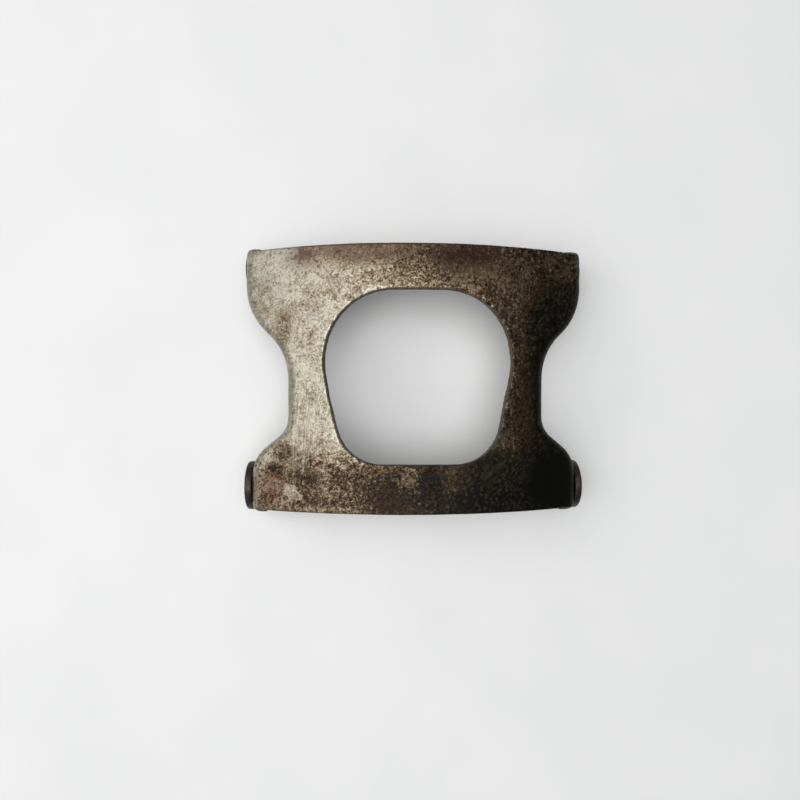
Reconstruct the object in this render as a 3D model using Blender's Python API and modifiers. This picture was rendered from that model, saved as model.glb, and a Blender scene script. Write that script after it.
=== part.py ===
"""Roller fairlead chock: an arched saddle with a window, standing on four lugs that hold two roller pins.

Metres, +Z up. The origin is on the deck plane, under the middle of the chock. The rope runs along Y,
under the arch and over the two rollers. -Y is the outboard end, with the heavier pin, and +Y the
inboard end. The pins lie along X.
"""

import math

import bmesh
import bpy
from mathutils import Vector

# Saddle: overall sizes
HEIGHT = 0.0440
ARCH_RADIUS = 0.1556
WALL = 0.0040
BEND_RADIUS = 0.0070
PLATE_HALF_LENGTH = 0.0567
LUG_HALF_LENGTH = 0.0590
INBOARD_HALF_WIDTH = 0.0750
OUTBOARD_HALF_WIDTH = 0.0721
LUG_CORNER = 0.0030
LUG_LEAD_IN = 0.0060
WAIST_HALF_WIDTH = 0.0555

# Saddle: side outline seen from above, as (half width, y, corner radius), inboard end first
SHOULDER_OUTLINE = [
    (INBOARD_HALF_WIDTH - LUG_CORNER, LUG_HALF_LENGTH, 0.0),
    (INBOARD_HALF_WIDTH, LUG_HALF_LENGTH - LUG_CORNER, 0.0050),
    (INBOARD_HALF_WIDTH, 0.0291, 0.0285),
    (WAIST_HALF_WIDTH, 0.0120, 0.0265),
    (WAIST_HALF_WIDTH, -0.0213, 0.0110),
    (OUTBOARD_HALF_WIDTH, -0.0345, 0.0160),
    (OUTBOARD_HALF_WIDTH, -LUG_HALF_LENGTH + LUG_CORNER, 0.0050),
    (OUTBOARD_HALF_WIDTH - LUG_CORNER, -LUG_HALF_LENGTH, 0.0),
]

# Window through the crown, as (x, y, corner radius). It was cast a little to the right of the middle.
WINDOW_OFFSET = 0.0008
WINDOW_TOP = 0.0373
WINDOW_BOTTOM = -0.0357
WINDOW_TOP_HALF = 0.0484
WINDOW_BOTTOM_HALF = 0.0312
WINDOW_DRAWN_AT = 0.0400
WINDOW_CUT_FROM = 0.0150
WINDOW_OUTLINE = [
    (WINDOW_TOP_HALF, WINDOW_TOP, 0.0300),
    (-WINDOW_TOP_HALF, WINDOW_TOP, 0.0300),
    (-WINDOW_BOTTOM_HALF, WINDOW_BOTTOM, 0.0200),
    (WINDOW_BOTTOM_HALF, WINDOW_BOTTOM, 0.0200),
]

# Side view of the saddle, as (y, z, corner radius): lugs, feet and the arched gap between them
GAP_TOP = 0.0260
GAP_OUTBOARD = -0.0355
GAP_INBOARD = 0.0395
LUG_SHOULDER = 0.0195
ABOVE_CROWN = HEIGHT + 0.010
SIDE_OUTLINE = [
    (-LUG_HALF_LENGTH, 0.0, 0.0070),
    (GAP_OUTBOARD, 0.0, 0.0050),
    (GAP_OUTBOARD, GAP_TOP, 0.0190),
    (GAP_INBOARD, GAP_TOP, 0.0230),
    (GAP_INBOARD, 0.0, 0.0050),
    (LUG_HALF_LENGTH, 0.0, 0.0070),
    (LUG_HALF_LENGTH, LUG_SHOULDER, 0.0080),
    (PLATE_HALF_LENGTH, LUG_SHOULDER + LUG_LEAD_IN, 0.0040),
    (PLATE_HALF_LENGTH, ABOVE_CROWN, 0.0),
    (-PLATE_HALF_LENGTH, ABOVE_CROWN, 0.0),
    (-PLATE_HALF_LENGTH, LUG_SHOULDER + LUG_LEAD_IN, 0.0040),
    (-LUG_HALF_LENGTH, LUG_SHOULDER, 0.0080),
]

# Pins and what turns on them
PIN_HEIGHT = 0.0134
PIN_END = 0.0757
FIT = 0.0003
BUSH_LENGTH = 0.0160
BOSS_DEPTH = 0.0020
WASHER_THICKNESS = 0.0015
OIL_HOLE_RADIUS = 0.0015
OIL_HOLE_DEPTH = 0.0050
PEENED_FLARE = 0.0015
PEENED_ABOVE_COLLAR = 0.0001
COUNTERSINK_SHARE = 0.8
COLLAR_EDGE = 0.0006
ROLLER_EDGE = 0.0010
EDGE_MIDDLE = 0.3
ENDS = {
    "outboard": {
        "y": -0.0477,
        "half_width": OUTBOARD_HALF_WIDTH,
        "seat": OUTBOARD_HALF_WIDTH,
        "pin_radius": 0.0045,
        "collar_radius": 0.0109,
        "bush_radius": 0.0062,
        "roller_radius": 0.0090,
        "thrust_radius": 0.0080,
    },
    "inboard": {
        "y": 0.0500,
        "half_width": INBOARD_HALF_WIDTH,
        "seat": INBOARD_HALF_WIDTH - 0.0016,
        "pin_radius": 0.0040,
        "collar_radius": 0.0072,
        "bush_radius": 0.0053,
        "roller_radius": 0.0075,
        "thrust_radius": 0.0065,
    },
}

# Mesh fineness
ARC_SEGMENTS = 7
ARCH_SEGMENTS = 8
BEND_SEGMENTS = 4
WINDOW_SEGMENTS = 12
OIL_HOLE_SEGMENTS = 12
LONGEST_ROW = 0.012
ROUND_STEPS = 32
MERGE = 0.00001
FAR = 0.2
OVERSHOOT = 0.001
SEAT_OVERSHOOT = 0.010
SHARP_ANGLE = 30


def clear_scene():
    for obj in list(bpy.data.objects):
        bpy.data.objects.remove(obj)


def make_collection(name):
    collection = bpy.data.collections.new(name)
    bpy.context.scene.collection.children.link(collection)
    return collection


def make_material(name, colour, roughness, metallic):
    material = bpy.data.materials.new(name)
    material.use_nodes = True
    shader = material.node_tree.nodes["Principled BSDF"]
    shader.inputs["Base Color"].default_value = (*colour, 1.0)
    shader.inputs["Roughness"].default_value = roughness
    shader.inputs["Metallic"].default_value = metallic
    return material


def new_mesh(name, form):
    """The finished mesh of a bmesh, which is freed."""
    mesh = bpy.data.meshes.new(name)
    form.to_mesh(mesh)
    form.free()
    return mesh


def add_object(name, mesh, collection, material=None):
    obj = bpy.data.objects.new(name, mesh)
    collection.objects.link(obj)
    if material:
        mesh.materials.append(material)
    return obj


def add_cutter(name, mesh, collection):
    obj = add_object(name, mesh, collection)
    obj.hide_render = True
    obj.display_type = "WIRE"
    return obj


def rounded_corner(before, corner, after, radius, segments):
    """Points of the arc that rounds a corner, from the first leg to the second."""
    corner = Vector(corner)
    back = (Vector(before) - corner).normalized()
    ahead = (Vector(after) - corner).normalized()
    half_angle = back.angle(ahead) / 2
    centre = corner + (back + ahead).normalized() * (radius / math.sin(half_angle))
    start = corner + back * (radius / math.tan(half_angle)) - centre
    turn = math.pi - 2 * half_angle
    if back.x * ahead.y - back.y * ahead.x > 0:
        turn = -turn
    points = []
    for step in range(segments + 1):
        angle = turn * step / segments
        cos, sin = math.cos(angle), math.sin(angle)
        points.append((centre.x + start.x * cos - start.y * sin, centre.y + start.x * sin + start.y * cos))
    return points


def rounded_path(corners, closed, segments=ARC_SEGMENTS):
    """Points along a path through (a, b, radius) corners, each rounded by its radius."""
    points = []
    count = len(corners)
    for index, (a, b, radius) in enumerate(corners):
        if radius == 0 or (not closed and index in (0, count - 1)):
            points.append((a, b))
            continue
        before = corners[index - 1][:2]
        after = corners[(index + 1) % count][:2]
        points += rounded_corner(before, (a, b), after, radius, segments)
    return points


def with_midpoints(points):
    """The path with its long straight runs divided, so that no step in b is over LONGEST_ROW."""
    filled = [points[0]]
    for (a0, b0), (a1, b1) in zip(points, points[1:]):
        pieces = max(1, math.ceil(abs(b1 - b0) / LONGEST_ROW))
        for piece in range(1, pieces + 1):
            share = piece / pieces
            filled.append((a0 + (a1 - a0) * share, b0 + (b1 - b0) * share))
    return filled


def prism(name, outline, low, high):
    """A mesh of an outline in XY, extruded from low to high along Z."""
    form = bmesh.new()
    base = form.faces.new([form.verts.new((a, b, low)) for a, b in outline])
    made = bmesh.ops.extrude_face_region(form, geom=[base])
    top = [item for item in made["geom"] if isinstance(item, bmesh.types.BMVert)]
    bmesh.ops.translate(form, vec=(0, 0, high - low), verts=top)
    bmesh.ops.recalc_face_normals(form, faces=form.faces)
    bmesh.ops.triangulate(form, faces=form.faces)
    return new_mesh(name, form)


def rod(name, radius, depth, segments=ROUND_STEPS):
    """A mesh of a cylinder along Z, centred on the origin."""
    form = bmesh.new()
    bmesh.ops.create_cone(
        form, cap_ends=True, segments=segments, radius1=radius, radius2=radius, depth=depth
    )
    return new_mesh(name, form)


def saddle_section(half_width, inset, foot):
    """Half of a section across X, from the crown down to the foot and back to the middle, as (x, z)."""
    arch_radius = ARCH_RADIUS - inset
    bend_radius = BEND_RADIUS - inset
    bend_x = half_width - bend_radius
    bend_rise = math.sqrt((arch_radius - bend_radius) ** 2 - bend_x**2)
    arch_centre = HEIGHT - ARCH_RADIUS
    bend_z = arch_centre + bend_rise
    bend_start = math.atan2(bend_x, bend_rise)
    line = []
    for step in range(ARCH_SEGMENTS):
        angle = bend_start * step / ARCH_SEGMENTS
        line.append((arch_radius * math.sin(angle), arch_centre + arch_radius * math.cos(angle)))
    for step in range(BEND_SEGMENTS + 1):
        angle = bend_start + (math.pi / 2 - bend_start) * step / BEND_SEGMENTS
        line.append((bend_x + bend_radius * math.sin(angle), bend_z + bend_radius * math.cos(angle)))
    line.append((half_width, foot))
    line.append((0, foot))
    return line


def moved_inwards(path, inset):
    """The side outline moved towards the middle, square to itself."""
    moved = []
    for index, (x, y) in enumerate(path):
        before = path[max(index - 1, 0)]
        after = path[min(index + 1, len(path) - 1)]
        along = Vector((after[0] - before[0], after[1] - before[1])).normalized()
        moved.append((x + along.y * inset, y - along.x * inset))
    return moved


def saddle_solid(name, inset, reach):
    """Half of a solid saddle: one section for every point of the side outline, joined in rows."""
    outline = [list(corner) for corner in SHOULDER_OUTLINE]
    outline[0][1] += reach
    outline[-1][1] -= reach
    stations = moved_inwards(with_midpoints(rounded_path(outline, closed=False)), inset)
    form = bmesh.new()
    rows = [
        [form.verts.new((x, y, z)) for x, z in saddle_section(half_width, inset, -reach)]
        for half_width, y in stations
    ]
    for row, following in zip(rows, rows[1:]):
        for index in range(len(row) - 1):
            form.faces.new((row[index], following[index], following[index + 1], row[index + 1]))
    form.faces.new(rows[0])
    form.faces.new(reversed(rows[-1]))
    bmesh.ops.triangulate(form, faces=form.faces)
    return new_mesh(name, form)


def window_cutter_mesh():
    """The window's outline, tapered in X so that its walls stand square to the arch."""
    outline = rounded_path(WINDOW_OUTLINE, closed=True, segments=WINDOW_SEGMENTS)
    mesh = prism("window_cutter", outline, WINDOW_CUT_FROM, ABOVE_CROWN)
    arch_centre = HEIGHT - ARCH_RADIUS
    edge_height = arch_centre + math.sqrt(ARCH_RADIUS**2 - WINDOW_DRAWN_AT**2)
    for vertex in mesh.vertices:
        vertex.co.x *= (vertex.co.z - arch_centre) / (edge_height - arch_centre)
        vertex.co.x += WINDOW_OFFSET
    return mesh


def add_rod_cutter(name, radius, span, y, collection):
    """A cylinder along X at the pins' height, over a span of X."""
    low, high = sorted(span)
    cutter = add_cutter(name, rod(name, radius, high - low), collection)
    cutter.location = ((low + high) / 2, y, PIN_HEIGHT)
    cutter.rotation_euler = (0, math.pi / 2, 0)


def add_boolean(obj, operation, operand):
    modifier = obj.modifiers.new(operation.lower(), "BOOLEAN")
    modifier.operation = operation
    modifier.solver = "EXACT"
    if isinstance(operand, bpy.types.Collection):
        modifier.operand_type = "COLLECTION"
        modifier.collection = operand
    else:
        modifier.object = operand


def build_saddle(parts, cutters, material):
    frame = add_object("saddle_frame", saddle_solid("saddle_frame", 0, OVERSHOOT), parts, material)
    hollow = add_cutter("hollow", saddle_solid("hollow", WALL, 2 * OVERSHOOT), cutters)
    for obj in (frame, hollow):
        mirror = obj.modifiers.new("mirror", "MIRROR")
        mirror.merge_threshold = MERGE

    outline = rounded_path(SIDE_OUTLINE, closed=True)
    side = add_cutter("side_outline", prism("side_outline", outline, -FAR / 2, FAR / 2), cutters)
    # Turn the prism so that its first axis lies along Y, its second along Z and its depth along X.
    side.rotation_euler = (math.pi / 2, 0, math.pi / 2)

    bosses = make_collection("saddle bosses")
    holes = make_collection("saddle holes")
    add_cutter("window_cutter", window_cutter_mesh(), holes)
    for end, size in ENDS.items():
        inner = size["half_width"] - WALL - BOSS_DEPTH
        outside = size["half_width"] + SEAT_OVERSHOOT
        for side_name, sign in (("left", -1), ("right", 1)):
            boss_span = (sign * inner, sign * (inner + BOSS_DEPTH + WALL / 2))
            add_rod_cutter(f"{end}_boss_{side_name}", size["thrust_radius"], boss_span, size["y"], bosses)
            if size["seat"] < size["half_width"]:
                seat_span = (sign * size["seat"], sign * outside)
                seat_radius = size["collar_radius"] + FIT
                add_rod_cutter(f"{end}_seat_{side_name}", seat_radius, seat_span, size["y"], holes)
        bore_span = (-FAR / 2, FAR / 2)
        add_rod_cutter(f"{end}_bore", size["pin_radius"] + FIT, bore_span, size["y"], holes)

    add_boolean(frame, "INTERSECT", side)
    add_boolean(frame, "DIFFERENCE", hollow)
    add_boolean(frame, "UNION", bosses)
    add_boolean(frame, "DIFFERENCE", holes)
    frame.data.shade_smooth()
    frame.data.set_sharp_from_angle(angle=math.radians(SHARP_ANGLE))


def turned(name, profile, closed, collection, material, end):
    """A solid turned about the pin's axis. The profile is (radius, distance along X) pairs."""
    form = bmesh.new()
    corners = [form.verts.new((radius, 0, along)) for radius, along in profile]
    pairs = list(zip(corners, corners[1:]))
    if closed:
        pairs.append((corners[-1], corners[0]))
    for first, second in pairs:
        form.edges.new((first, second))
    obj = add_object(name, new_mesh(name, form), collection, material)
    obj.location = (0, ENDS[end]["y"], PIN_HEIGHT)
    obj.rotation_euler = (0, math.pi / 2, 0)
    screw = obj.modifiers.new("turn", "SCREW")
    screw.axis = "Z"
    screw.steps = ROUND_STEPS
    screw.render_steps = ROUND_STEPS
    screw.use_merge_vertices = True
    screw.merge_threshold = MERGE
    screw.use_smooth_shade = True
    return obj


def flipped(profile):
    """The same profile on the other side of the chock, still running the right way round."""
    return [(radius, -along) for radius, along in reversed(profile)]


def build_pin(end, parts, material):
    size = ENDS[end]
    radius = size["pin_radius"]
    half = [(0, PIN_END), (radius + PEENED_FLARE, PIN_END), (radius, PIN_END - PEENED_FLARE)]
    profile = half + flipped(half)
    return turned(f"{end}_pin", profile, False, parts, material, end)


def collar_profile(size):
    """The riveted collar on the right side: a washer with a countersunk hole and a rounded rim."""
    inner = size["pin_radius"] + FIT
    countersink = PEENED_FLARE + FIT
    near = size["seat"] + FIT
    far = PIN_END - PEENED_ABOVE_COLLAR
    rim = size["collar_radius"]
    return [
        (inner + countersink * COUNTERSINK_SHARE, far),
        (rim - COLLAR_EDGE, far),
        (rim - COLLAR_EDGE * EDGE_MIDDLE, far - COLLAR_EDGE * EDGE_MIDDLE),
        (rim, far - COLLAR_EDGE),
        (rim, near),
        (inner, near),
        (inner, far - countersink),
    ]


def roller_profile(size, length_end):
    """The roller's sleeve: a tube with rounded ends, given as its whole closed outline."""
    outer = size["roller_radius"]
    inner = size["bush_radius"] + FIT
    half = [
        (inner, length_end),
        (outer - ROLLER_EDGE, length_end),
        (outer - ROLLER_EDGE * EDGE_MIDDLE, length_end - ROLLER_EDGE * EDGE_MIDDLE),
        (outer, length_end - ROLLER_EDGE),
    ]
    return half + flipped(half)


def ring_profile(inner, outer, near, far):
    return [(inner, far), (outer, far), (outer, near), (inner, near)]


def build_end(end, parts, cutters, materials):
    """One pin with its collars, thrust washers, roller and bushes."""
    size = ENDS[end]
    inner_face = size["half_width"] - WALL - BOSS_DEPTH
    washer_far = inner_face - FIT
    washer_near = washer_far - WASHER_THICKNESS
    roller_end = washer_near - FIT
    bore = size["pin_radius"] + FIT
    build_pin(end, parts, materials["pin"])

    profile = roller_profile(size, roller_end)
    roller = turned(f"{end}_roller", profile, True, parts, materials["roller"], end)
    name = f"{end}_oil_hole"
    hole = add_cutter(name, rod(name, OIL_HOLE_RADIUS, 2 * OIL_HOLE_DEPTH, OIL_HOLE_SEGMENTS), cutters)
    hole.location = (0, size["y"], PIN_HEIGHT + size["roller_radius"])
    add_boolean(roller, "DIFFERENCE", hole)

    bush_far = roller_end - FIT
    washer = ring_profile(bore, size["thrust_radius"], washer_near, washer_far)
    bush = ring_profile(bore, size["bush_radius"], bush_far - BUSH_LENGTH, bush_far)
    right_side = {
        "collar": (collar_profile(size), materials["pin"]),
        "washer": (washer, materials["bronze"]),
        "bush": (bush, materials["bronze"]),
    }
    for kind, (profile, material) in right_side.items():
        turned(f"{end}_{kind}_right", profile, True, parts, material, end)
        turned(f"{end}_{kind}_left", flipped(profile), True, parts, material, end)


def main():
    clear_scene()
    parts = make_collection("fairlead chock")
    cutters = make_collection("cutters")
    materials = {
        "saddle": make_material("worn_cast_steel", (0.42, 0.37, 0.29), 0.45, 0.8),
        "pin": make_material("blackened_steel", (0.09, 0.08, 0.08), 0.5, 0.7),
        "roller": make_material("bare_steel", (0.33, 0.31, 0.28), 0.4, 0.9),
        "bronze": make_material("bearing_bronze", (0.45, 0.30, 0.14), 0.4, 0.9),
    }
    build_saddle(parts, cutters, materials["saddle"])
    for end in ENDS:
        build_end(end, parts, cutters, materials)


main()
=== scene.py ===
"""The worn roller fairlead chock, finished: a patinated saddle, riveted pins, rollers and their bearings.

The shapes follow the CAD frame's own sizes, with finer curves, worn edges, pits and dents.
Metres, +Z up, +X along the pins and +Y towards the inboard end.
"""

import math

import bmesh
import bpy
import numpy as np
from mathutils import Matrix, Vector, noise
from mathutils.bvhtree import BVHTree


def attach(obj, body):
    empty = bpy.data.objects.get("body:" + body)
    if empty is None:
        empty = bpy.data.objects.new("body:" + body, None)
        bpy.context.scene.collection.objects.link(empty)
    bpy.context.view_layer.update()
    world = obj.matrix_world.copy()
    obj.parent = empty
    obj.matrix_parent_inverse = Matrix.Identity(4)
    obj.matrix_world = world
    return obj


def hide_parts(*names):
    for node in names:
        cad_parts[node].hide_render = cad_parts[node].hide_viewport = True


# Saddle, as in the CAD part
HEIGHT = 0.0440
ARCH_RADIUS = 0.1556
WALL = 0.0040
BEND_RADIUS = 0.0070
PLATE_HALF_LENGTH = 0.0567
LUG_HALF_LENGTH = 0.0590
INBOARD_HALF_WIDTH = 0.0750
OUTBOARD_HALF_WIDTH = 0.0721
LUG_CORNER = 0.0030
LUG_LEAD_IN = 0.0060
WAIST_HALF_WIDTH = 0.0555
SHOULDER_OUTLINE = [
    (INBOARD_HALF_WIDTH - LUG_CORNER, LUG_HALF_LENGTH, 0.0),
    (INBOARD_HALF_WIDTH, LUG_HALF_LENGTH - LUG_CORNER, 0.0050),
    (INBOARD_HALF_WIDTH, 0.0291, 0.0285),
    (WAIST_HALF_WIDTH, 0.0120, 0.0265),
    (WAIST_HALF_WIDTH, -0.0213, 0.0110),
    (OUTBOARD_HALF_WIDTH, -0.0345, 0.0160),
    (OUTBOARD_HALF_WIDTH, -LUG_HALF_LENGTH + LUG_CORNER, 0.0050),
    (OUTBOARD_HALF_WIDTH - LUG_CORNER, -LUG_HALF_LENGTH, 0.0),
]
WINDOW_OFFSET = 0.0008
WINDOW_TOP = 0.0373
WINDOW_BOTTOM = -0.0357
WINDOW_TOP_HALF = 0.0484
WINDOW_BOTTOM_HALF = 0.0312
WINDOW_DRAWN_AT = 0.0400
WINDOW_CUT_FROM = 0.0150
WINDOW_OUTLINE = [
    (WINDOW_TOP_HALF, WINDOW_TOP, 0.0300),
    (-WINDOW_TOP_HALF, WINDOW_TOP, 0.0300),
    (-WINDOW_BOTTOM_HALF, WINDOW_BOTTOM, 0.0200),
    (WINDOW_BOTTOM_HALF, WINDOW_BOTTOM, 0.0200),
]
LUG_SHOULDER = 0.0195
ABOVE_CROWN = HEIGHT + 0.010
GAP_TOP = 0.0260
GAP_OUTBOARD = -0.0355
GAP_INBOARD = 0.0395
SIDE_OUTLINE = [
    (-LUG_HALF_LENGTH, 0.0, 0.0070),
    (GAP_OUTBOARD, 0.0, 0.0050),
    (GAP_OUTBOARD, GAP_TOP, 0.0190),
    (GAP_INBOARD, GAP_TOP, 0.0230),
    (GAP_INBOARD, 0.0, 0.0050),
    (LUG_HALF_LENGTH, 0.0, 0.0070),
    (LUG_HALF_LENGTH, LUG_SHOULDER, 0.0080),
    (PLATE_HALF_LENGTH, LUG_SHOULDER + LUG_LEAD_IN, 0.0040),
    (PLATE_HALF_LENGTH, ABOVE_CROWN, 0.0),
    (-PLATE_HALF_LENGTH, ABOVE_CROWN, 0.0),
    (-PLATE_HALF_LENGTH, LUG_SHOULDER + LUG_LEAD_IN, 0.0040),
    (-LUG_HALF_LENGTH, LUG_SHOULDER, 0.0080),
]

# Pins and what turns on them, as in the CAD part
PIN_HEIGHT = 0.0134
PIN_END = 0.0757
FIT = 0.0003
BUSH_LENGTH = 0.0160
BOSS_DEPTH = 0.0020
WASHER_THICKNESS = 0.0015
OIL_HOLE_RADIUS = 0.0015
OIL_HOLE_CUT = 0.0100
ENDS = {
    "outboard": {
        "y": -0.0477,
        "half_width": OUTBOARD_HALF_WIDTH,
        "seat": OUTBOARD_HALF_WIDTH,
        "pin_radius": 0.0045,
        "collar_radius": 0.0109,
        "bush_radius": 0.0062,
        "roller_radius": 0.0090,
        "thrust_radius": 0.0080,
    },
    "inboard": {
        "y": 0.0500,
        "half_width": INBOARD_HALF_WIDTH,
        "seat": INBOARD_HALF_WIDTH - 0.0016,
        "pin_radius": 0.0040,
        "collar_radius": 0.0072,
        "bush_radius": 0.0053,
        "roller_radius": 0.0075,
        "thrust_radius": 0.0065,
    },
}

# Fineness of the finished shapes
ARC_SEGMENTS = 20
ARCH_SEGMENTS = 30
BEND_SEGMENTS = 12
LONGEST_ROW = 0.004
ROUND_STEPS = 96
RIM_SEGMENTS = 6
RING_SEGMENTS = 4
MERGE = 0.00001
FAR = 0.2
OVERSHOOT = 0.001
SEAT_OVERSHOOT = 0.010
SHARP_ANGLE = 40
VOXEL = 0.00058
MM = 1000.0

# Rounded edges of the small pieces, and the peened pin ends
COLLAR_BELOW_PIN = 0.0001
COLLAR_ROUND = 0.0012
COLLAR_ROUND_SHARE = 0.4
COLLAR_EDGE = 0.0003
COUNTERSINK_FLARE = 0.0014
COUNTERSINK_DEPTH = 0.0018
ROLLER_EDGE = 0.0012
WASHER_EDGE = 0.0002
BUSH_EDGE = 0.0003

# Wear: rounds of softening, the loss in mm that counts as a bright edge, the depth of skin that is
# open to the weather, and the rollers' hollow and scores
EDGE_SOFTENING = 5
FULL_EDGE_WEAR_MM = 0.25
SKIN_DEPTH = 0.0005
SKIN_FADE = 0.0006
PIT_THRESHOLD = 0.15
ROLLER_STEP = 0.0010
ROLLER_WEAR = 0.00025
ROLLER_SCORE = 0.00020
SCORE_SPACING = 0.0021

# Colours of the saddle, from rubbed plating to the oldest patina and the painted shade of the right-hand
# side, as (age and shade, colour)
AGE_COLOURS = [
    (0.00, (0.375, 0.350, 0.285)),
    (0.18, (0.265, 0.236, 0.185)),
    (0.36, (0.185, 0.145, 0.098)),
    (0.50, (0.105, 0.070, 0.038)),
    (0.66, (0.062, 0.038, 0.020)),
    (0.80, (0.020, 0.013, 0.008)),
    (1.00, (0.0022, 0.0022, 0.0014)),
]
# Bright edges: rubbed metal, and a painted highlight along the edges
EDGE_WEAR_AND_HIGHLIGHT = (0.66, 0.60, 0.50)
# Below the skin: the hollow's own dark brown and rust, which on the left window wall also stands as painted
# shade
SHELTERED_BROWN = (0.016, 0.012, 0.009)
SHELTERED_RUST = (0.060, 0.034, 0.020)
# Painted light: tan of the right-hand window wall, the one facing the light
LIT_WALL_PAINTED_TAN = (0.085, 0.070, 0.050)
PLUM = (0.070, 0.036, 0.028)
MAUVE = (0.085, 0.050, 0.038)
DARK_RED = (0.020, 0.007, 0.005)
BRICK = (0.15, 0.070, 0.045)
GRAIN_CREAM = (0.46, 0.39, 0.26)
GRAIN_OCHRE = (0.125, 0.090, 0.046)
GRAIN_RUST = (0.075, 0.028, 0.013)
GRAIN_OLIVE = (0.080, 0.064, 0.036)
# Black-green patina, also used as painted shade on the right-hand slopes
BLACK_GREEN_PATINA_AND_SHADE = (0.0022, 0.0028, 0.0015)
BLACK = (0.0045, 0.0022, 0.0016)
OLIVE_YELLOW = (0.15, 0.115, 0.055)
RED_BROWN = (0.045, 0.020, 0.012)

# Half width and half length of the window walls, in mm, where the right-hand one, facing the light, is
# painted a lighter tan as painted light
WINDOW_WALL_REACH = (47.0, 43.0)

# Grains of the saddle's surface, as (size in mm, turn in degrees, detail, roughness, distortion)
SADDLE_GRAINS = {
    "fine": (0.8, 0, 2.0, 0.70, 0.0),
    "coarse": (1.5, 70, 2.0, 0.60, 0.0),
    "speck": (1.9, 30, 4.0, 0.75, 0.0),
    "blotch": (5.5, 0, 5.0, 0.65, 0.4),
    "cloud": (22.0, 0, 4.0, 0.60, 0.3),
}

# How old the surface looks, with painted shade that darkens the right-hand side, which is turned from the
# light: at the middle, at least, for each mm to the right, and for the lower bar, which starts over a
# stretch of Y in mm
AGE_MIDDLE = 0.47
AGE_LEAST = 0.13
AGE_AND_SHADE_PER_MM = 0.0070
AGE_LOWER_BAR = 0.36
LOWER_BAR_STARTS = (-24.0, -42.0)

# How far each grain swings the age, and the outlines of the patches and of the stains
AGE_SWING = {"cloud": 0.35, "blotch": 0.85, "speck": 1.35, "fine": 1.10}
PATCH_SWING = {"blotch": 3.4, "speck": 3.4}
STAIN_SWING = {"blotch": 3.4, "speck": 4.4, "fine": 3.2}
PATCH_FADE = (1.30, 0.60)
STAIN_FADE = (1.35, 0.55)
SCRATCH_FADE = (1.20, 0.50)

# Patches of older or more rubbed patina, as (centre in mm, radii in mm, added age)
AGED_PATCHES = [
    ((-65.0, 35.0), (3.5, 7.0), 0.18),
    ((-57.0, 23.0), (3.5, 9.0), 0.30),
    ((-48.0, 30.0), (7.0, 4.0), 0.16),
    ((-28.0, 53.0), (22.0, 5.0), 0.14),
    ((4.0, 49.0), (16.0, 9.0), 0.14),
    ((-49.0, -30.0), (5.0, 9.0), 0.16),
    ((-57.0, -31.0), (4.0, 4.0), 0.40),
    ((-61.0, -38.5), (4.5, 3.0), 0.42),
    ((-50.0, -42.5), (7.0, 3.5), 0.32),
    ((-47.0, -51.0), (6.0, 3.0), 0.28),
    ((-54.0, -48.0), (4.0, 3.4), -0.36),
    ((-66.0, -35.0), (3.5, 4.0), -0.22),
    ((-9.0, -46.0), (13.0, 9.0), 0.20),
    ((16.0, -43.0), (6.0, 6.0), -0.16),
    ((-3.0, -42.0), (3.5, 6.0), -0.24),
    ((40.0, -30.0), (6.0, 7.0), -0.30),
    ((-71.0, -46.0), (4.0, 10.0), -0.28),
    ((34.0, 48.0), (26.0, 12.0), -0.10),
    ((66.0, 50.0), (10.0, 6.0), -0.16),
]

# Stains on the saddle, as (centre in mm, radii in mm, colour, strength). The black-green ones on the
# right-hand side are patina and painted shade of the slopes turned from the light
STAINS = [
    ((-47.5, 53.5), (6.0, 5.5), PLUM, 0.85),
    ((-24.0, 53.5), (20.0, 4.0), MAUVE, 0.75),
    ((21.0, 51.5), (12.0, 5.5), DARK_RED, 0.85),
    ((26.0, 43.5), (8.0, 4.5), OLIVE_YELLOW, 0.25),
    ((-63.0, -47.5), (6.5, 6.0), BRICK, 0.50),
    ((6.3, -46.0), (3.2, 6.5), BLACK, 0.97),
    ((-12.0, -51.5), (7.0, 3.5), DARK_RED, 0.75),
    ((56.0, -44.0), (32.0, 18.0), BLACK_GREEN_PATINA_AND_SHADE, 0.86),
    # Painted shade: the outer half of the right bar, where its bend turns from the light
    ((56.5, -4.0), (9.0, 34.0), BLACK_GREEN_PATINA_AND_SHADE, 0.97),
    ((47.0, -14.0), (3.0, 18.0), RED_BROWN, 0.42),
    ((63.0, 22.0), (11.0, 13.0), BLACK_GREEN_PATINA_AND_SHADE, 0.90),
]

# Middle and radii, in mm, of the corner where no grain shows through the dark stains and painted shade
DARKEST_CORNER = ((62.0, -44.0), (16.0, 12.0))
CORNER_FADE = (0.8, 1.3)

# Bands of fine scratches, as (centre in mm, radii in mm, direction in degrees, colour, strength)
SCRATCHES = [
    ((-50.0, -12.0), (9.0, 30.0), 88.0, (0.44, 0.44, 0.38), 0.45),
    ((-49.0, -20.0), (12.0, 25.0), 80.0, (0.08, 0.055, 0.035), 0.35),
    ((-25.0, -46.0), (45.0, 11.0), 2.0, (0.03, 0.018, 0.010), 0.60),
    ((37.0, -38.0), (13.0, 9.0), 48.0, (0.070, 0.058, 0.040), 0.34),
]
SCRATCH_STRETCH = (24.0, 0.5, 1.0)

# How strongly rust, late grains and rubbed edges with their painted highlight cover what is below them
RUST_COVER = 0.60
LATE_GRAIN_COVER = 0.34
EDGE_COVER = 0.60

# Shine of the saddle, as the values of old patina and of rubbed plating
SADDLE_METALLIC = (0.25, 0.92)
SADDLE_ROUGHNESS = (0.52, 0.42)
SADDLE_ROUGHNESS_SWING = 0.06
SADDLE_SPECULAR = 0.12
SHELTERED_PLATING = 0.3

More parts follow.
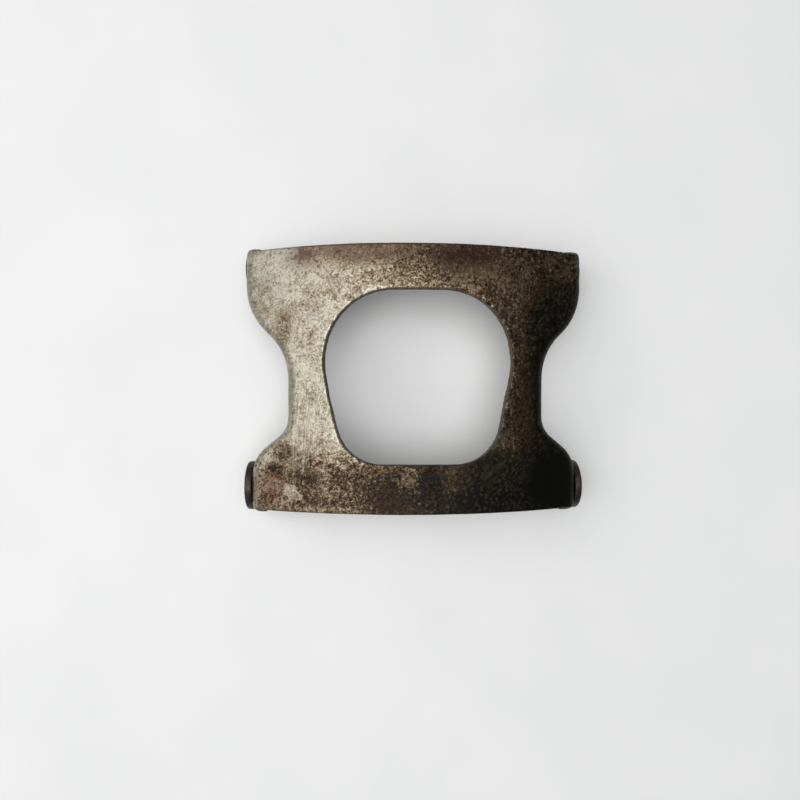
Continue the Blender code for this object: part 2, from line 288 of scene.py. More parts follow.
# Colours of the other pieces
PIN_BLACK = (0.022, 0.019, 0.019)
PIN_RUST = (0.060, 0.036, 0.028)
PIN_WORN = (0.14, 0.125, 0.115)
ROLLER_DARK = (0.27, 0.25, 0.22)
ROLLER_BRIGHT = (0.40, 0.375, 0.335)
ROLLER_RUST = (0.135, 0.060, 0.030)
BRONZE_CLEAN = (0.50, 0.33, 0.15)
BRONZE_TARNISH = (0.17, 0.115, 0.060)
PAPER_PALE = (0.785, 0.780, 0.772)
PAPER_SHADE = (0.755, 0.752, 0.746)

# Stage
FLOOR_HALF = 2.5
SKY_LEFT = (0.67, 0.685, 0.69)
SKY_RIGHT = (0.060, 0.063, 0.066)
SKY_TURN = (-0.55, 0.45)
# Each light's place, size, power and tint
LIGHTS = {
    "window_light": ((-0.62, 0.04, 0.72), (0.9, 0.9), 3.8, (1.0, 0.995, 0.985)),
    "top_light": ((0.03, -0.02, 1.40), (1.0, 1.0), 11.3, (0.98, 0.99, 1.0)),
}

# Camera: looking down, a little left of the chock and tipped towards it
CAMERA_PLACE = (-0.0174, -0.0088, 0.3035)
CAMERA_TIP = (0.0, -2.2, 0.0)
CAMERA_LENS = 28.26
CAMERA_SENSOR = 36.0
CAMERA_CLIP = 0.01


def new_mesh(name, form):
    mesh = bpy.data.meshes.new(name)
    form.to_mesh(mesh)
    form.free()
    return mesh


def add_object(name, mesh, material=None):
    obj = bpy.data.objects.new(name, mesh)
    bpy.context.scene.collection.objects.link(obj)
    if material:
        mesh.materials.append(material)
    return obj


def bake_modifiers(obj):
    """Replaces the object's mesh by what its modifiers make of it."""
    graph = bpy.context.evaluated_depsgraph_get()
    mesh = bpy.data.meshes.new_from_object(obj.evaluated_get(graph))
    obj.modifiers.clear()
    obj.data = mesh


# Outlines and solids


def rounded_corner(before, corner, after, radius, segments):
    """Points of the arc that rounds a corner, from the first leg to the second."""
    corner = Vector(corner)
    back = (Vector(before) - corner).normalized()
    ahead = (Vector(after) - corner).normalized()
    half_angle = back.angle(ahead) / 2
    centre = corner + (back + ahead).normalized() * (radius / math.sin(half_angle))
    start = corner + back * (radius / math.tan(half_angle)) - centre
    turn = math.pi - 2 * half_angle
    if back.x * ahead.y - back.y * ahead.x > 0:
        turn = -turn
    points = []
    for step in range(segments + 1):
        angle = turn * step / segments
        cos, sin = math.cos(angle), math.sin(angle)
        points.append((centre.x + start.x * cos - start.y * sin, centre.y + start.x * sin + start.y * cos))
    return points


def rounded_path(corners, closed, segments=ARC_SEGMENTS):
    """Points along a path through (a, b, radius) corners, each rounded by its radius."""
    points = []
    count = len(corners)
    for index, (a, b, radius) in enumerate(corners):
        if radius == 0 or (not closed and index in (0, count - 1)):
            points.append((a, b))
            continue
        before = corners[index - 1][:2]
        after = corners[(index + 1) % count][:2]
        points += rounded_corner(before, (a, b), after, radius, segments)
    return points


def with_midpoints(points):
    """The path with its long straight runs divided into shorter rows."""
    filled = [points[0]]
    for (a0, b0), (a1, b1) in zip(points, points[1:]):
        pieces = max(1, math.ceil(abs(b1 - b0) / LONGEST_ROW))
        for piece in range(1, pieces + 1):
            share = piece / pieces
            filled.append((a0 + (a1 - a0) * share, b0 + (b1 - b0) * share))
    return filled


def prism(name, outline, low, high):
    """A mesh of an outline in XY, extruded from low to high along Z."""
    form = bmesh.new()
    base = form.faces.new([form.verts.new((a, b, low)) for a, b in outline])
    made = bmesh.ops.extrude_face_region(form, geom=[base])
    top = [item for item in made["geom"] if isinstance(item, bmesh.types.BMVert)]
    bmesh.ops.translate(form, vec=(0, 0, high - low), verts=top)
    bmesh.ops.recalc_face_normals(form, faces=form.faces)
    bmesh.ops.triangulate(form, faces=form.faces)
    return new_mesh(name, form)


def rod(name, radius, depth):
    form = bmesh.new()
    bmesh.ops.create_cone(
        form, cap_ends=True, segments=ROUND_STEPS, radius1=radius, radius2=radius, depth=depth
    )
    return new_mesh(name, form)


def saddle_section(half_width, inset, foot):
    """Half of a section across X, from the crown down to the foot and back to the middle, as (x, z)."""
    arch_radius = ARCH_RADIUS - inset
    bend_radius = BEND_RADIUS - inset
    bend_x = half_width - bend_radius
    bend_rise = math.sqrt((arch_radius - bend_radius) ** 2 - bend_x**2)
    arch_centre = HEIGHT - ARCH_RADIUS
    bend_z = arch_centre + bend_rise
    bend_start = math.atan2(bend_x, bend_rise)
    line = []
    for step in range(ARCH_SEGMENTS):
        angle = bend_start * step / ARCH_SEGMENTS
        line.append((arch_radius * math.sin(angle), arch_centre + arch_radius * math.cos(angle)))
    for step in range(BEND_SEGMENTS + 1):
        angle = bend_start + (math.pi / 2 - bend_start) * step / BEND_SEGMENTS
        line.append((bend_x + bend_radius * math.sin(angle), bend_z + bend_radius * math.cos(angle)))
    line.append((half_width, foot))
    line.append((0, foot))
    return line


def moved_inwards(path, inset):
    """The side outline moved towards the middle, square to itself."""
    moved = []
    for index, (x, y) in enumerate(path):
        before = path[max(index - 1, 0)]
        after = path[min(index + 1, len(path) - 1)]
        along = Vector((after[0] - before[0], after[1] - before[1])).normalized()
        moved.append((x + along.y * inset, y - along.x * inset))
    return moved


def saddle_solid(name, inset, reach):
    """A solid saddle: one section for every point of the side outline, joined in rows and mirrored."""
    outline = [list(corner) for corner in SHOULDER_OUTLINE]
    outline[0][1] += reach
    outline[-1][1] -= reach
    stations = moved_inwards(with_midpoints(rounded_path(outline, closed=False)), inset)
    form = bmesh.new()
    rows = [
        [form.verts.new((x, y, z)) for x, z in saddle_section(half_width, inset, -reach)]
        for half_width, y in stations
    ]
    for row, following in zip(rows, rows[1:]):
        for index in range(len(row) - 1):
            form.faces.new((row[index], following[index], following[index + 1], row[index + 1]))
    form.faces.new(rows[0])
    form.faces.new(reversed(rows[-1]))
    bmesh.ops.triangulate(form, faces=form.faces)
    obj = add_object(name, new_mesh(name, form))
    mirror = obj.modifiers.new("mirror", "MIRROR")
    mirror.merge_threshold = MERGE
    bake_modifiers(obj)
    return obj


def window_cutter():
    """The window's outline, tapered in X so that its walls stand square to the arch."""
    mesh = prism("window", rounded_path(WINDOW_OUTLINE, closed=True), WINDOW_CUT_FROM, ABOVE_CROWN)
    arch_centre = HEIGHT - ARCH_RADIUS
    edge_height = arch_centre + math.sqrt(ARCH_RADIUS**2 - WINDOW_DRAWN_AT**2)
    for vertex in mesh.vertices:
        vertex.co.x *= (vertex.co.z - arch_centre) / (edge_height - arch_centre)
        vertex.co.x += WINDOW_OFFSET
    return add_object("window", mesh)


def rod_along_x(name, radius, near, far, y):
    low, high = sorted((near, far))
    obj = add_object(name, rod(name, radius, high - low))
    obj.location = ((low + high) / 2, y, PIN_HEIGHT)
    obj.rotation_euler = (0, math.pi / 2, 0)
    return obj


def cut(obj, operation, operand):
    """One Boolean, applied straight away. The operand is removed."""
    modifier = obj.modifiers.new(operation.lower(), "BOOLEAN")
    modifier.operation = operation
    modifier.solver = "EXACT"
    modifier.object = operand
    bpy.context.view_layer.update()
    bake_modifiers(obj)
    bpy.data.objects.remove(operand)


# The finished pieces


def vectors_of(mesh, kind):
    """The mesh's points, or their normals, as rows of an array."""
    read, field = (mesh.vertices, "co") if kind == "points" else (mesh.vertex_normals, "vector")
    values = np.empty(len(mesh.vertices) * 3, np.float32)
    read.foreach_get(field, values)
    return values.reshape(-1, 3)


def roughened(obj, wave, wave_size, pit, pit_size, seed):
    """Sinks the surface in slow waves and in small pits, never outwards."""
    offset = Vector((seed, seed * 2, seed * 3))
    points = vectors_of(obj.data, "points")
    depths = []
    for point in points.tolist():
        slow = noise.noise(Vector(point) / wave_size + offset)
        fast = noise.noise(Vector(point) / pit_size - offset)
        depths.append(wave * (0.5 + 0.5 * slow) + pit * max(0.0, fast - PIT_THRESHOLD))
    points -= vectors_of(obj.data, "normals") * np.array(depths, np.float32)[:, None]
    obj.data.vertices.foreach_set("co", points.ravel())
    obj.data.update()


def softened(obj, rounds):
    """Wears the edges round, and keeps how much went from each point as the edge_wear attribute."""
    before = vectors_of(obj.data, "points")
    smooth = obj.modifiers.new("soft edges", "SMOOTH")
    smooth.factor = 0.5
    smooth.iterations = rounds
    bpy.context.view_layer.update()
    bake_modifiers(obj)
    moved = before - vectors_of(obj.data, "points")
    lost = (moved * vectors_of(obj.data, "normals")).sum(axis=1)
    wear = obj.data.attributes.new("edge_wear", "FLOAT", "POINT")
    wear.data.foreach_set("value", np.clip(lost * MM / FULL_EDGE_WEAR_MM, -1, 1).astype(np.float32))


def marked_sheltered(obj, skin):
    """Keeps how far each point lies below the outer skin: 1 in bores, in the window and underneath."""
    distances = [skin.find_nearest(point)[3] for point in vectors_of(obj.data, "points").tolist()]
    share = np.clip((np.array(distances) - SKIN_DEPTH) / SKIN_FADE, 0, 1)
    sheltered = obj.data.attributes.new("sheltered", "FLOAT", "POINT")
    sheltered.data.foreach_set("value", share.astype(np.float32))


def skin_of(obj):
    """The object's surface as it now is, to measure depths from."""
    points = [vertex.co[:] for vertex in obj.data.vertices]
    faces = [face.vertices[:] for face in obj.data.polygons]
    return BVHTree.FromPolygons(points, faces)


def cut_side_and_hollow(saddle):
    """Leaves the lugs and their arched gaps, and takes out all but the wall."""
    outline = rounded_path(SIDE_OUTLINE, closed=True)
    side = add_object("side", prism("side", outline, -FAR / 2, FAR / 2))
    # Turn the prism so that its first axis lies along Y, its second along Z and its depth along X.
    side.rotation_euler = (math.pi / 2, 0, math.pi / 2)
    cut(saddle, "INTERSECT", side)
    cut(saddle, "DIFFERENCE", saddle_solid("hollow", WALL, 2 * OVERSHOOT))


def fit_for_pins(saddle):
    """A boss inside each lug, a seat for each sunk collar, and a bore through both lugs of an end."""
    for size in ENDS.values():
        inner = size["half_width"] - WALL - BOSS_DEPTH
        boss_end = inner + BOSS_DEPTH + WALL / 2
        outside = size["half_width"] + SEAT_OVERSHOOT
        seat_radius = size["collar_radius"] + FIT
        for sign in (-1, 1):
            boss = rod_along_x("boss", size["thrust_radius"], sign * inner, sign * boss_end, size["y"])
            cut(saddle, "UNION", boss)
            if size["seat"] < size["half_width"]:
                seat = rod_along_x("seat", seat_radius, sign * size["seat"], sign * outside, size["y"])
                cut(saddle, "DIFFERENCE", seat)
        bore = rod_along_x("bore", size["pin_radius"] + FIT, -FAR / 2, FAR / 2, size["y"])
        cut(saddle, "DIFFERENCE", bore)


def finished_saddle(material):
    saddle = saddle_solid("worn_saddle", 0, OVERSHOOT)
    skin = skin_of(saddle)
    cut_side_and_hollow(saddle)
    fit_for_pins(saddle)
    cut(saddle, "DIFFERENCE", window_cutter())

    remesh = saddle.modifiers.new("even mesh", "REMESH")
    remesh.mode = "VOXEL"
    remesh.voxel_size = VOXEL
    bpy.context.view_layer.update()
    bake_modifiers(saddle)
    softened(saddle, EDGE_SOFTENING)
    marked_sheltered(saddle, skin)
    roughened(saddle, wave=0.00016, wave_size=0.018, pit=0.00012, pit_size=0.0030, seed=3.7)
    saddle.data.materials.clear()
    saddle.data.materials.append(material)
    saddle.data.shade_smooth()
    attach(saddle, "chock")
    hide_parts("saddle_frame")


def turned(name, profile, closed, material, end):
    """A solid turned about the pin's axis. The profile is (radius, distance along X) pairs."""
    form = bmesh.new()
    corners = [form.verts.new((radius, 0, along)) for radius, along in profile]
    pairs = list(zip(corners, corners[1:]))
    if closed:
        pairs.append((corners[-1], corners[0]))
    for first, second in pairs:
        form.edges.new((first, second))
    obj = add_object(name, new_mesh(name, form), material)
    obj.location = (0, ENDS[end]["y"], PIN_HEIGHT)
    obj.rotation_euler = (0, math.pi / 2, 0)
    screw = obj.modifiers.new("turn", "SCREW")
    screw.axis = "Z"
    screw.steps = ROUND_STEPS
    screw.render_steps = ROUND_STEPS
    screw.use_merge_vertices = True
    screw.merge_threshold = MERGE
    screw.use_smooth_shade = True
    bpy.context.view_layer.update()
    bake_modifiers(obj)
    obj.data.transform(obj.matrix_world)
    obj.matrix_world.identity()
    obj.data.set_sharp_from_angle(angle=math.radians(SHARP_ANGLE))
    return obj


def flipped(profile):
    """The same profile on the other side of the chock, still running the right way round."""
    return [(radius, -along) for radius, along in reversed(profile)]


def pin_profile(size):
    """A pin whose ends are peened into low domes over the collars' countersinks."""
    radius = size["pin_radius"]
    end = PIN_END
    half = [
        (0.0, end),
        (radius * 0.35, end - 0.00003),
        (radius * 0.70, end - 0.00012),
        (radius + 0.0001, end - 0.00028),
        (radius + 0.0009, end - 0.00050),
        (radius + 0.0013, end - 0.00085),
        (radius + 0.0010, end - 0.00130),
        (radius, end - 0.00220),
    ]
    return half + flipped(half)


def collar_profile(size):
    """The right-hand collar: a thick washer with a countersink and a rounded rim."""
    inner = size["pin_radius"] + FIT
    near = size["seat"] + FIT
    far = PIN_END - COLLAR_BELOW_PIN
    rim = size["collar_radius"]
    rim_round = min(COLLAR_ROUND, (far - near) * COLLAR_ROUND_SHARE)
    corners = [
        (inner + COUNTERSINK_FLARE, far, COLLAR_EDGE),
        (rim, far, rim_round),
        (rim, near, COLLAR_EDGE),
        (inner, near, 0.0),
        (inner, far - COUNTERSINK_DEPTH, 0.0),
    ]
    return rounded_path(corners, closed=True, segments=RIM_SEGMENTS)


def roller_profile(size, length_end, seed):
    """A tube with rounded ends, worn thinner along the middle and scored by the rope."""
    outer = size["roller_radius"]
    inner = size["bush_radius"] + FIT
    reach = length_end - ROLLER_EDGE
    corners = [(inner, length_end, 0), (outer, length_end, ROLLER_EDGE), (outer, 0, 0)]
    face = rounded_path(corners, closed=False, segments=RIM_SEGMENTS)[:-1]
    worn = []
    steps = int(2 * reach / ROLLER_STEP)
    for step in range(1, steps):
        along = reach - step * ROLLER_STEP
        middle = 1 - (along / reach) ** 2
        score = max(0.0, noise.noise(Vector((along / SCORE_SPACING, seed, 0.0))))
        worn.append((outer - ROLLER_WEAR * middle - ROLLER_SCORE * score * middle, along))
    return face + worn + flipped(face)


def ring_profile(inner, outer, near, far, edge):
    corners = [(inner, far, edge), (outer, far, edge), (outer, near, edge), (inner, near, edge)]
    return rounded_path(corners, closed=True, segments=RING_SEGMENTS)


def place(obj, node, slot, body):
    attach(obj, body)
    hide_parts(node)


def finished_end(end, materials):
    """One pin with its collars, thrust washers, roller and bushes."""
    size = ENDS[end]
    washer_far = size["half_width"] - WALL - BOSS_DEPTH - FIT
    washer_near = washer_far - WASHER_THICKNESS
    roller_end = washer_near - FIT
    bush_far = roller_end - FIT
    bore = size["pin_radius"] + FIT
    spinning = f"{end}_roller_set"

    pin = turned(f"worn_{end}_pin", pin_profile(size), False, materials["pin"], end)
    place(pin, f"{end}_pin", "pin_steel", "chock")

    profile = roller_profile(size, roller_end, seed=size["y"] * 100)
    roller = turned(f"worn_{end}_roller", profile, True, materials["roller"], end)
    oil_hole = add_object("oil_hole", rod("oil_hole", OIL_HOLE_RADIUS, OIL_HOLE_CUT))
    oil_hole.location = (0, size["y"], PIN_HEIGHT + size["roller_radius"])
    cut(roller, "DIFFERENCE", oil_hole)
    roller.data.set_sharp_from_angle(angle=math.radians(SHARP_ANGLE))
    place(roller, f"{end}_roller", "roller_steel", spinning)

    washer = ring_profile(bore, size["thrust_radius"], washer_near, washer_far, WASHER_EDGE)
    bush = ring_profile(bore, size["bush_radius"], bush_far - BUSH_LENGTH, bush_far, BUSH_EDGE)
    right_side = {
        "collar": (collar_profile(size), "pin", "pin_steel", "chock"),
        "washer": (washer, "bronze", "bearing_bronze", "chock"),
        "bush": (bush, "bronze", "bearing_bronze", spinning),
    }
    for kind, (profile, material, slot, body) in right_side.items():
        for side, outline in (("right", profile), ("left", flipped(profile))):
            piece = turned(f"worn_{end}_{kind}_{side}", outline, True, materials[material], end)
            place(piece, f"{end}_{kind}_{side}", slot, body)


# Materials


def add(tree, kind, inputs=None, **settings):
    """A node with its settings, each input given as a value or as the output that feeds it."""
    made = tree.nodes.new(kind)
    for name, value in settings.items():
        setattr(made, name, value)
    for key, value in (inputs or {}).items():
        if isinstance(value, bpy.types.NodeSocket):
            tree.links.new(value, made.inputs[key])
        else:
            made.inputs[key].default_value = value
    return made


def folded(tree, operation, first, *others):
    """The same operation on all the values, from the left."""
    result = first
    for other in others:
        result = add(tree, "ShaderNodeMath", {0: result, 1: other}, operation=operation).outputs[0]
    return result


def product(tree, *values):
    return folded(tree, "MULTIPLY", *values)


def total(tree, *values):
    return folded(tree, "ADD", *values)


def rise(tree, value, low, high):
    """0 below low and 1 above high, smooth between; with low over high it falls."""
    inputs = {"Value": value, "From Min": low, "From Max": high}
    return add(tree, "ShaderNodeMapRange", inputs, interpolation_type="SMOOTHSTEP").outputs[0]


def span(tree, value, low, high, to_low, to_high):
    inputs = {"Value": value, "From Min": low, "From Max": high, "To Min": to_low, "To Max": to_high}
    return add(tree, "ShaderNodeMapRange", inputs).outputs[0]


def mixed(tree, share, first, second):
    first = first if isinstance(first, bpy.types.NodeSocket) else (*first, 1.0)
    second = second if isinstance(second, bpy.types.NodeSocket) else (*second, 1.0)
    return add(tree, "ShaderNodeMix", {0: share, 6: first, 7: second}, data_type="RGBA").outputs[2]


def grain(tree, vector, size_mm, detail=3.0, roughness=0.6, distortion=0.0):
    inputs = {
        "Vector": vector,
        "Scale": 1.0 / size_mm,
        "Detail": detail,
        "Roughness": roughness,
        "Distortion": distortion,
    }
    return add(tree, "ShaderNodeTexNoise", inputs).outputs[0]


def stretched(tree, vector, scale=(1.0, 1.0, 1.0), turn_degrees=0.0):
    """The same place, turned about Z and then scaled, so that a texture runs in streaks."""
    inputs = {"Vector": vector, "Rotation": (0, 0, math.radians(turn_degrees)), "Scale": scale}
    return add(tree, "ShaderNodeMapping", inputs, vector_type="TEXTURE").outputs[0]


def add_bump(tree, shader, height, strength, depth):
    bump = add(tree, "ShaderNodeBump", {"Strength": strength, "Distance": depth, "Height": height})
    tree.links.new(bump.outputs[0], shader.inputs["Normal"])


def start_material(name):
    """A material's tree, its shader, and the place on the object in millimetres."""
    material = bpy.data.materials.new(name)
    material.use_nodes = True
    tree = material.node_tree
    shader = tree.nodes["Principled BSDF"]
    place_m = add(tree, "ShaderNodeTexCoord").outputs["Object"]
    place_mm = add(tree, "ShaderNodeVectorMath", {0: place_m, "Scale": MM}, operation="SCALE").outputs[0]
    return material, tree, shader, place_mm


def colour_by(tree, value, stops):
    ramp = add(tree, "ShaderNodeValToRGB", {0: value})
    elements = ramp.color_ramp.elements
    while len(elements) < len(stops):
        elements.new(1.0)
    for element, (where, colour) in zip(elements, stops):
        element.position = where
        element.color = (*colour, 1.0)
    return ramp.outputs[0]


def nearness(tree, place_mm, centre, radii):
    """Distance from a centre, where 1 is the edge of the ellipse."""
    off = add(tree, "ShaderNodeVectorMath", {0: place_mm, 1: (*centre, 0)}, operation="SUBTRACT").outputs[0]
    shrink = (1 / radii[0], 1 / radii[1], 0)
    scaled = add(tree, "ShaderNodeVectorMath", {0: off, 1: shrink}, operation="MULTIPLY").outputs[0]
    return add(tree, "ShaderNodeVectorMath", {0: scaled}, operation="LENGTH").outputs["Value"]


def swing(tree, grains, shares):
    """The sum of several grains, each centred on 0 and swinging by its share."""
    parts = [span(tree, grains[name], 0.0, 1.0, -share / 2, share / 2) for name, share in shares.items()]
    return total(tree, *parts)


def ragged_patch(tree, place_mm, centre, radii, wobble, fade):
    """1 in the middle of an ellipse and 0 outside it, with an outline that wobbles."""
    return rise(tree, total(tree, nearness(tree, place_mm, centre, radii), wobble), *fade)


def saddle_grains(tree, place_mm):
    grains = {}
    for name, (size, turn, detail, roughness, distortion) in SADDLE_GRAINS.items():
        vector = stretched(tree, place_mm, turn_degrees=turn) if turn else place_mm
        grains[name] = grain(tree, vector, size, detail, roughness, distortion)
    return grains


def saddle_age_and_shade(tree, place_mm, grains):
    """0 where the plating is rubbed and 1 where the patina is oldest, with painted shade rising towards the
    right.
    """
    across, along, _ = add(tree, "ShaderNodeSeparateXYZ", {0: place_mm}).outputs
    # Painted shade: darker for each mm to the right, the side turned from the light, on top of the patina's
    # own age
    slope = {0: across, 1: AGE_AND_SHADE_PER_MM, 2: AGE_MIDDLE}
    age_and_shade = add(tree, "ShaderNodeMath", slope, operation="MULTIPLY_ADD").outputs[0]
    age_and_shade = folded(tree, "MAXIMUM", age_and_shade, AGE_LEAST)
    age_and_shade = total(tree, age_and_shade, product(tree, rise(tree, along, *LOWER_BAR_STARTS), AGE_LOWER_BAR))
    # The bright plating is more even than the patina
    uneven = span(tree, age_and_shade, 0.10, 0.50, 0.95, 1.30)
    age_and_shade = total(tree, age_and_shade, product(tree, swing(tree, grains, AGE_SWING), uneven))
    wobble = swing(tree, grains, PATCH_SWING)
    for centre, radii, added in AGED_PATCHES:
        patch = ragged_patch(tree, place_mm, centre, radii, wobble, PATCH_FADE)
        age_and_shade = total(tree, age_and_shade, product(tree, patch, added))
    return age_and_shade


def with_grains_and_rust(tree, colour, age_and_shade, grains):
    """Bright grains and rust left in the patina."""
    old = rise(tree, age_and_shade, 0.35, 0.60)
    shows = product(tree, rise(tree, grains["coarse"], 0.50, 0.70), rise(tree, age_and_shade, 1.05, 0.65))
    clustered = product(tree, shows, old, span(tree, grains["blotch"], 0.35, 0.65, 0.15, 1.0))
    tint = mixed(tree, rise(tree, age_and_shade, 0.45, 0.85), GRAIN_CREAM, GRAIN_OCHRE)
    colour = mixed(tree, clustered, colour, tint)
    rust = product(tree, rise(tree, grains["blotch"], 0.50, 0.62), rise(tree, grains["speck"], 0.40, 0.60))
    rust = product(tree, rust, rise(tree, age_and_shade, 1.15, 0.85), old, RUST_COVER)
    return mixed(tree, rust, colour, GRAIN_RUST)


def with_stains(tree, colour, place_mm, age_and_shade, grains):
    """Stains, with painted shade in the black-green ones on the right-hand side, and the grains that still
    show through them.
    """
    wobble = swing(tree, grains, STAIN_SWING)
    for centre, radii, tint, strength in STAINS:
        patch = ragged_patch(tree, place_mm, centre, radii, wobble, STAIN_FADE)
        colour = mixed(tree, product(tree, patch, strength), colour, tint)
    outside = rise(tree, nearness(tree, place_mm, *DARKEST_CORNER), *CORNER_FADE)
    shows = product(tree, rise(tree, grains["coarse"], 0.46, 0.70), rise(tree, age_and_shade, 0.68, 0.95))
    return mixed(tree, product(tree, shows, outside, LATE_GRAIN_COVER), colour, GRAIN_OLIVE)


def with_scratches(tree, colour, place_mm):
    for centre, radii, direction, tint, strength in SCRATCHES:
        streaks = stretched(tree, place_mm, SCRATCH_STRETCH, direction)
        lines = rise(tree, grain(tree, streaks, 1.0, detail=2.0), 0.52, 0.64)
        band = rise(tree, nearness(tree, place_mm, centre, radii), *SCRATCH_FADE)
        colour = mixed(tree, product(tree, lines, product(tree, band, strength)), colour, tint)
    return colour


def with_bright_edges(tree, colour, grains):
    wear = add(tree, "ShaderNodeAttribute", attribute_name="edge_wear").outputs["Fac"]
    # Worn edges lightened: wear, and a painted highlight on every rounded edge
    rubbed_and_highlit = product(tree, rise(tree, wear, 0.25, 0.9), rise(tree, grains["blotch"], 0.40, 0.60))
    return mixed(tree, product(tree, rubbed_and_highlit, EDGE_COVER), colour, EDGE_WEAR_AND_HIGHLIGHT)


def with_sheltered_faces(tree, colour, sheltered, place_mm, grains):
    """Brown and rusty below the skin, with a tan painted on the right-hand window wall as the light it
    catches; the left wall's dark brown is painted shade as well as rust.
    """
    across = add(tree, "ShaderNodeSeparateXYZ", {0: place_mm}).outputs[0]
    window_centre = (WINDOW_OFFSET * MM, 0.0)
    near_window = rise(tree, nearness(tree, place_mm, window_centre, WINDOW_WALL_REACH), 1.04, 0.98)
    # Painted light on the right-hand window wall, which faces the light
    painted_lit_wall = product(tree, rise(tree, across, 10.0, 34.0), near_window)
    inside = mixed(tree, rise(tree, grains["speck"], 0.42, 0.60), SHELTERED_BROWN, SHELTERED_RUST)
    return mixed(tree, sheltered, colour, mixed(tree, painted_lit_wall, inside, LIT_WALL_PAINTED_TAN))


def saddle_material():
    # The saddle's finish: patina and rust, with painted shade on its right-hand side
    material, tree, shader, place_mm = start_material("patina_and_painted_shade")
    grains = saddle_grains(tree, place_mm)
    age_and_shade = saddle_age_and_shade(tree, place_mm, grains)
    sheltered = add(tree, "ShaderNodeAttribute", attribute_name="sheltered").outputs["Fac"]
    colour = colour_by(tree, age_and_shade, AGE_COLOURS)
    colour = with_grains_and_rust(tree, colour, age_and_shade, grains)
    colour = with_stains(tree, colour, place_mm, age_and_shade, grains)
    colour = with_scratches(tree, colour, place_mm)
    colour = with_bright_edges(tree, colour, grains)
    colour = with_sheltered_faces(tree, colour, sheltered, place_mm, grains)
    tree.links.new(colour, shader.inputs["Base Color"])

    plated = rise(tree, age_and_shade, 0.85, 0.25)
    plated = product(tree, plated, span(tree, sheltered, 0.0, 1.0, 1.0, SHELTERED_PLATING))
    tree.links.new(span(tree, plated, 0.0, 1.0, *SADDLE_METALLIC), shader.inputs["Metallic"])
    unevenness = span(tree, grains["fine"], 0.3, 0.7, -SADDLE_ROUGHNESS_SWING, SADDLE_ROUGHNESS_SWING)
    rough = total(tree, span(tree, plated, 0.0, 1.0, *SADDLE_ROUGHNESS), unevenness)
    tree.links.new(rough, shader.inputs["Roughness"])
    shader.inputs["Specular IOR Level"].default_value = SADDLE_SPECULAR

    height = total(tree, product(tree, grains["speck"], 0.6), product(tree, grains["fine"], 0.4))
    add_bump(tree, shader, height, strength=0.22, depth=0.0003)
    return material


def dark_steel_material():
    material, tree, shader, place_mm = start_material("blackened_pin_steel")
    fine = grain(tree, place_mm, 0.8, detail=4.0, roughness=0.7)
    blotch = grain(tree, place_mm, 3.5, detail=4.0, roughness=0.6, distortion=0.5)
    colour = mixed(tree, rise(tree, blotch, 0.40, 0.62), PIN_BLACK, PIN_RUST)
    colour = mixed(tree, rise(tree, fine, 0.60, 0.70), colour, PIN_WORN)
    tree.links.new(colour, shader.inputs["Base Color"])
    shader.inputs["Metallic"].default_value = 0.75
    tree.links.new(span(tree, fine, 0.3, 0.7, 0.38, 0.58), shader.inputs["Roughness"])
    add_bump(tree, shader, fine, strength=0.3, depth=0.0003)
    return material


def roller_material():
    material, tree, shader, place_mm = start_material("rope_worn_steel")
    ring = grain(tree, stretched(tree, place_mm, (1.0, 30.0, 30.0)), 0.7, detail=3.0, roughness=0.7)
    blotch = grain(tree, place_mm, 6.0, detail=5.0, roughness=0.65, distortion=0.4)
    fine = grain(tree, place_mm, 1.1, detail=3.0, roughness=0.7)
    colour = mixed(tree, rise(tree, ring, 0.35, 0.70), ROLLER_DARK, ROLLER_BRIGHT)
    rust = product(tree, rise(tree, blotch, 0.48, 0.66), rise(tree, fine, 0.35, 0.60))
    colour = mixed(tree, rust, colour, ROLLER_RUST)
    tree.links.new(colour, shader.inputs["Base Color"])
    tree.links.new(span(tree, rust, 0.0, 1.0, 0.95, 0.35), shader.inputs["Metallic"])
    tree.links.new(span(tree, rust, 0.0, 1.0, 0.36, 0.75), shader.inputs["Roughness"])
    height = total(tree, ring, product(tree, rust, 0.6))
    add_bump(tree, shader, height, strength=0.15, depth=0.0002)
    return material


def bronze_material():
    material, tree, shader, place_mm = start_material("dull_bearing_bronze")
    ring = grain(tree, stretched(tree, place_mm, (20.0, 1.0, 1.0)), 0.9, detail=3.0, roughness=0.6)
    blotch = grain(tree, place_mm, 2.5, detail=4.0, roughness=0.6)
    colour = mixed(tree, rise(tree, blotch, 0.42, 0.62), BRONZE_CLEAN, BRONZE_TARNISH)
    tree.links.new(colour, shader.inputs["Base Color"])
    shader.inputs["Metallic"].default_value = 0.9
    tree.links.new(span(tree, ring, 0.3, 0.7, 0.28, 0.50), shader.inputs["Roughness"])
    add_bump(tree, shader, ring, strength=0.2, depth=0.0002)
    return material


def paper_material():
    material, tree, shader, place_mm = start_material("pale_paper")
    cloud = grain(tree, place_mm, 60.0, detail=3.0, roughness=0.5)
    colour = mixed(tree, rise(tree, cloud, 0.3, 0.7), PAPER_PALE, PAPER_SHADE)
    tree.links.new(colour, shader.inputs["Base Color"])
    shader.inputs["Roughness"].default_value = 0.85
    return material


# Stage


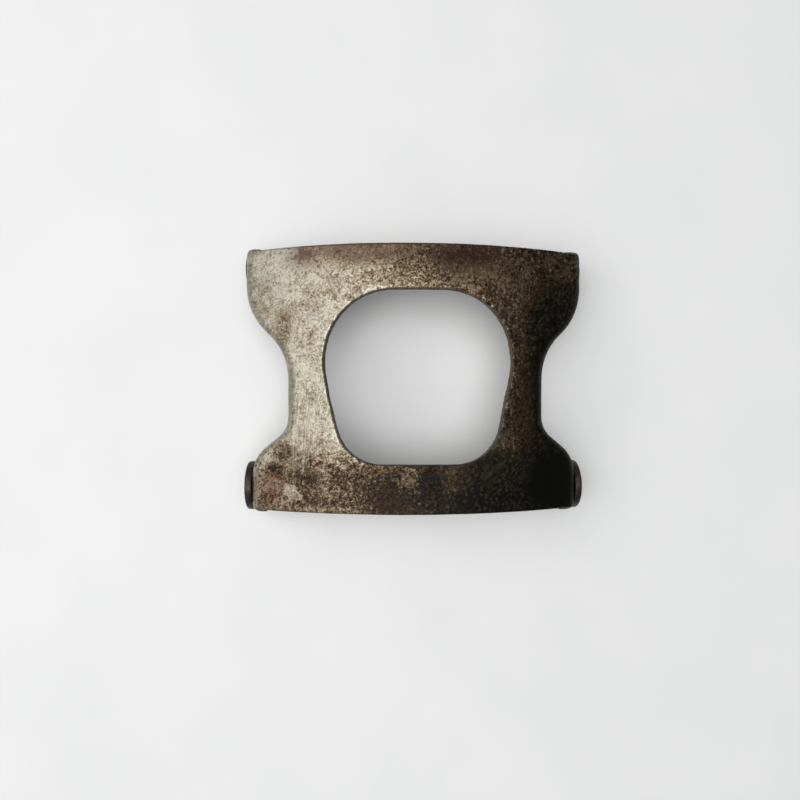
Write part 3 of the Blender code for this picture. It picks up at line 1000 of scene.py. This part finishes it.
def build_floor():
    form = bmesh.new()
    bmesh.ops.create_grid(form, x_segments=1, y_segments=1, size=FLOOR_HALF)
    floor = add_object("paper_floor", new_mesh("paper_floor", form), paper_material())


def add_area_light(name, place, size, power, tint):
    data = bpy.data.lights.new(name, "AREA")
    data.shape = "RECTANGLE"
    data.size, data.size_y = size
    data.energy = power
    data.color = tint
    light = bpy.data.objects.new(name, data)
    bpy.context.scene.collection.objects.link(light)
    light.location = place
    light.rotation_euler = (-Vector(place)).to_track_quat("-Z", "Y").to_euler()


def build_lights():
    world = bpy.data.worlds.new("studio")
    world.use_nodes = True
    tree = world.node_tree
    direction = add(tree, "ShaderNodeTexCoord").outputs["Generated"]
    across = add(tree, "ShaderNodeSeparateXYZ", {0: direction}).outputs[0]
    sky = mixed(tree, rise(tree, across, *SKY_TURN), SKY_LEFT, SKY_RIGHT)
    tree.links.new(sky, tree.nodes["Background"].inputs["Color"])
    bpy.context.scene.world = world
    for name, (spot, size, power, tint) in LIGHTS.items():
        add_area_light(name, spot, size, power, tint)


def build_camera():
    data = bpy.data.cameras.new("camera")
    data.lens = CAMERA_LENS
    data.sensor_width = CAMERA_SENSOR
    data.clip_start = CAMERA_CLIP
    camera = bpy.data.objects.new("camera", data)
    bpy.context.scene.collection.objects.link(camera)
    camera.location = CAMERA_PLACE
    camera.rotation_euler = [math.radians(angle) for angle in CAMERA_TIP]
    bpy.context.scene.camera = camera


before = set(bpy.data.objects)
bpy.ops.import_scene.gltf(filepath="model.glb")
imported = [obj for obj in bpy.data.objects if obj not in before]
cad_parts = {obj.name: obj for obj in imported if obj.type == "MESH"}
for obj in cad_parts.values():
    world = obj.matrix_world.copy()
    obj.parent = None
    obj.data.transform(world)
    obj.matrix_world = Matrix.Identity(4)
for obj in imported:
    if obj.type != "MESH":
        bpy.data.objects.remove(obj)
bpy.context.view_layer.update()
bpy.context.scene.view_settings.view_transform = "Standard"
finishes = {
    "pin": dark_steel_material(),
    "roller": roller_material(),
    "bronze": bronze_material(),
}
finished_saddle(saddle_material())
for each_end in ENDS:
    finished_end(each_end, finishes)
build_floor()
build_lights()
build_camera()
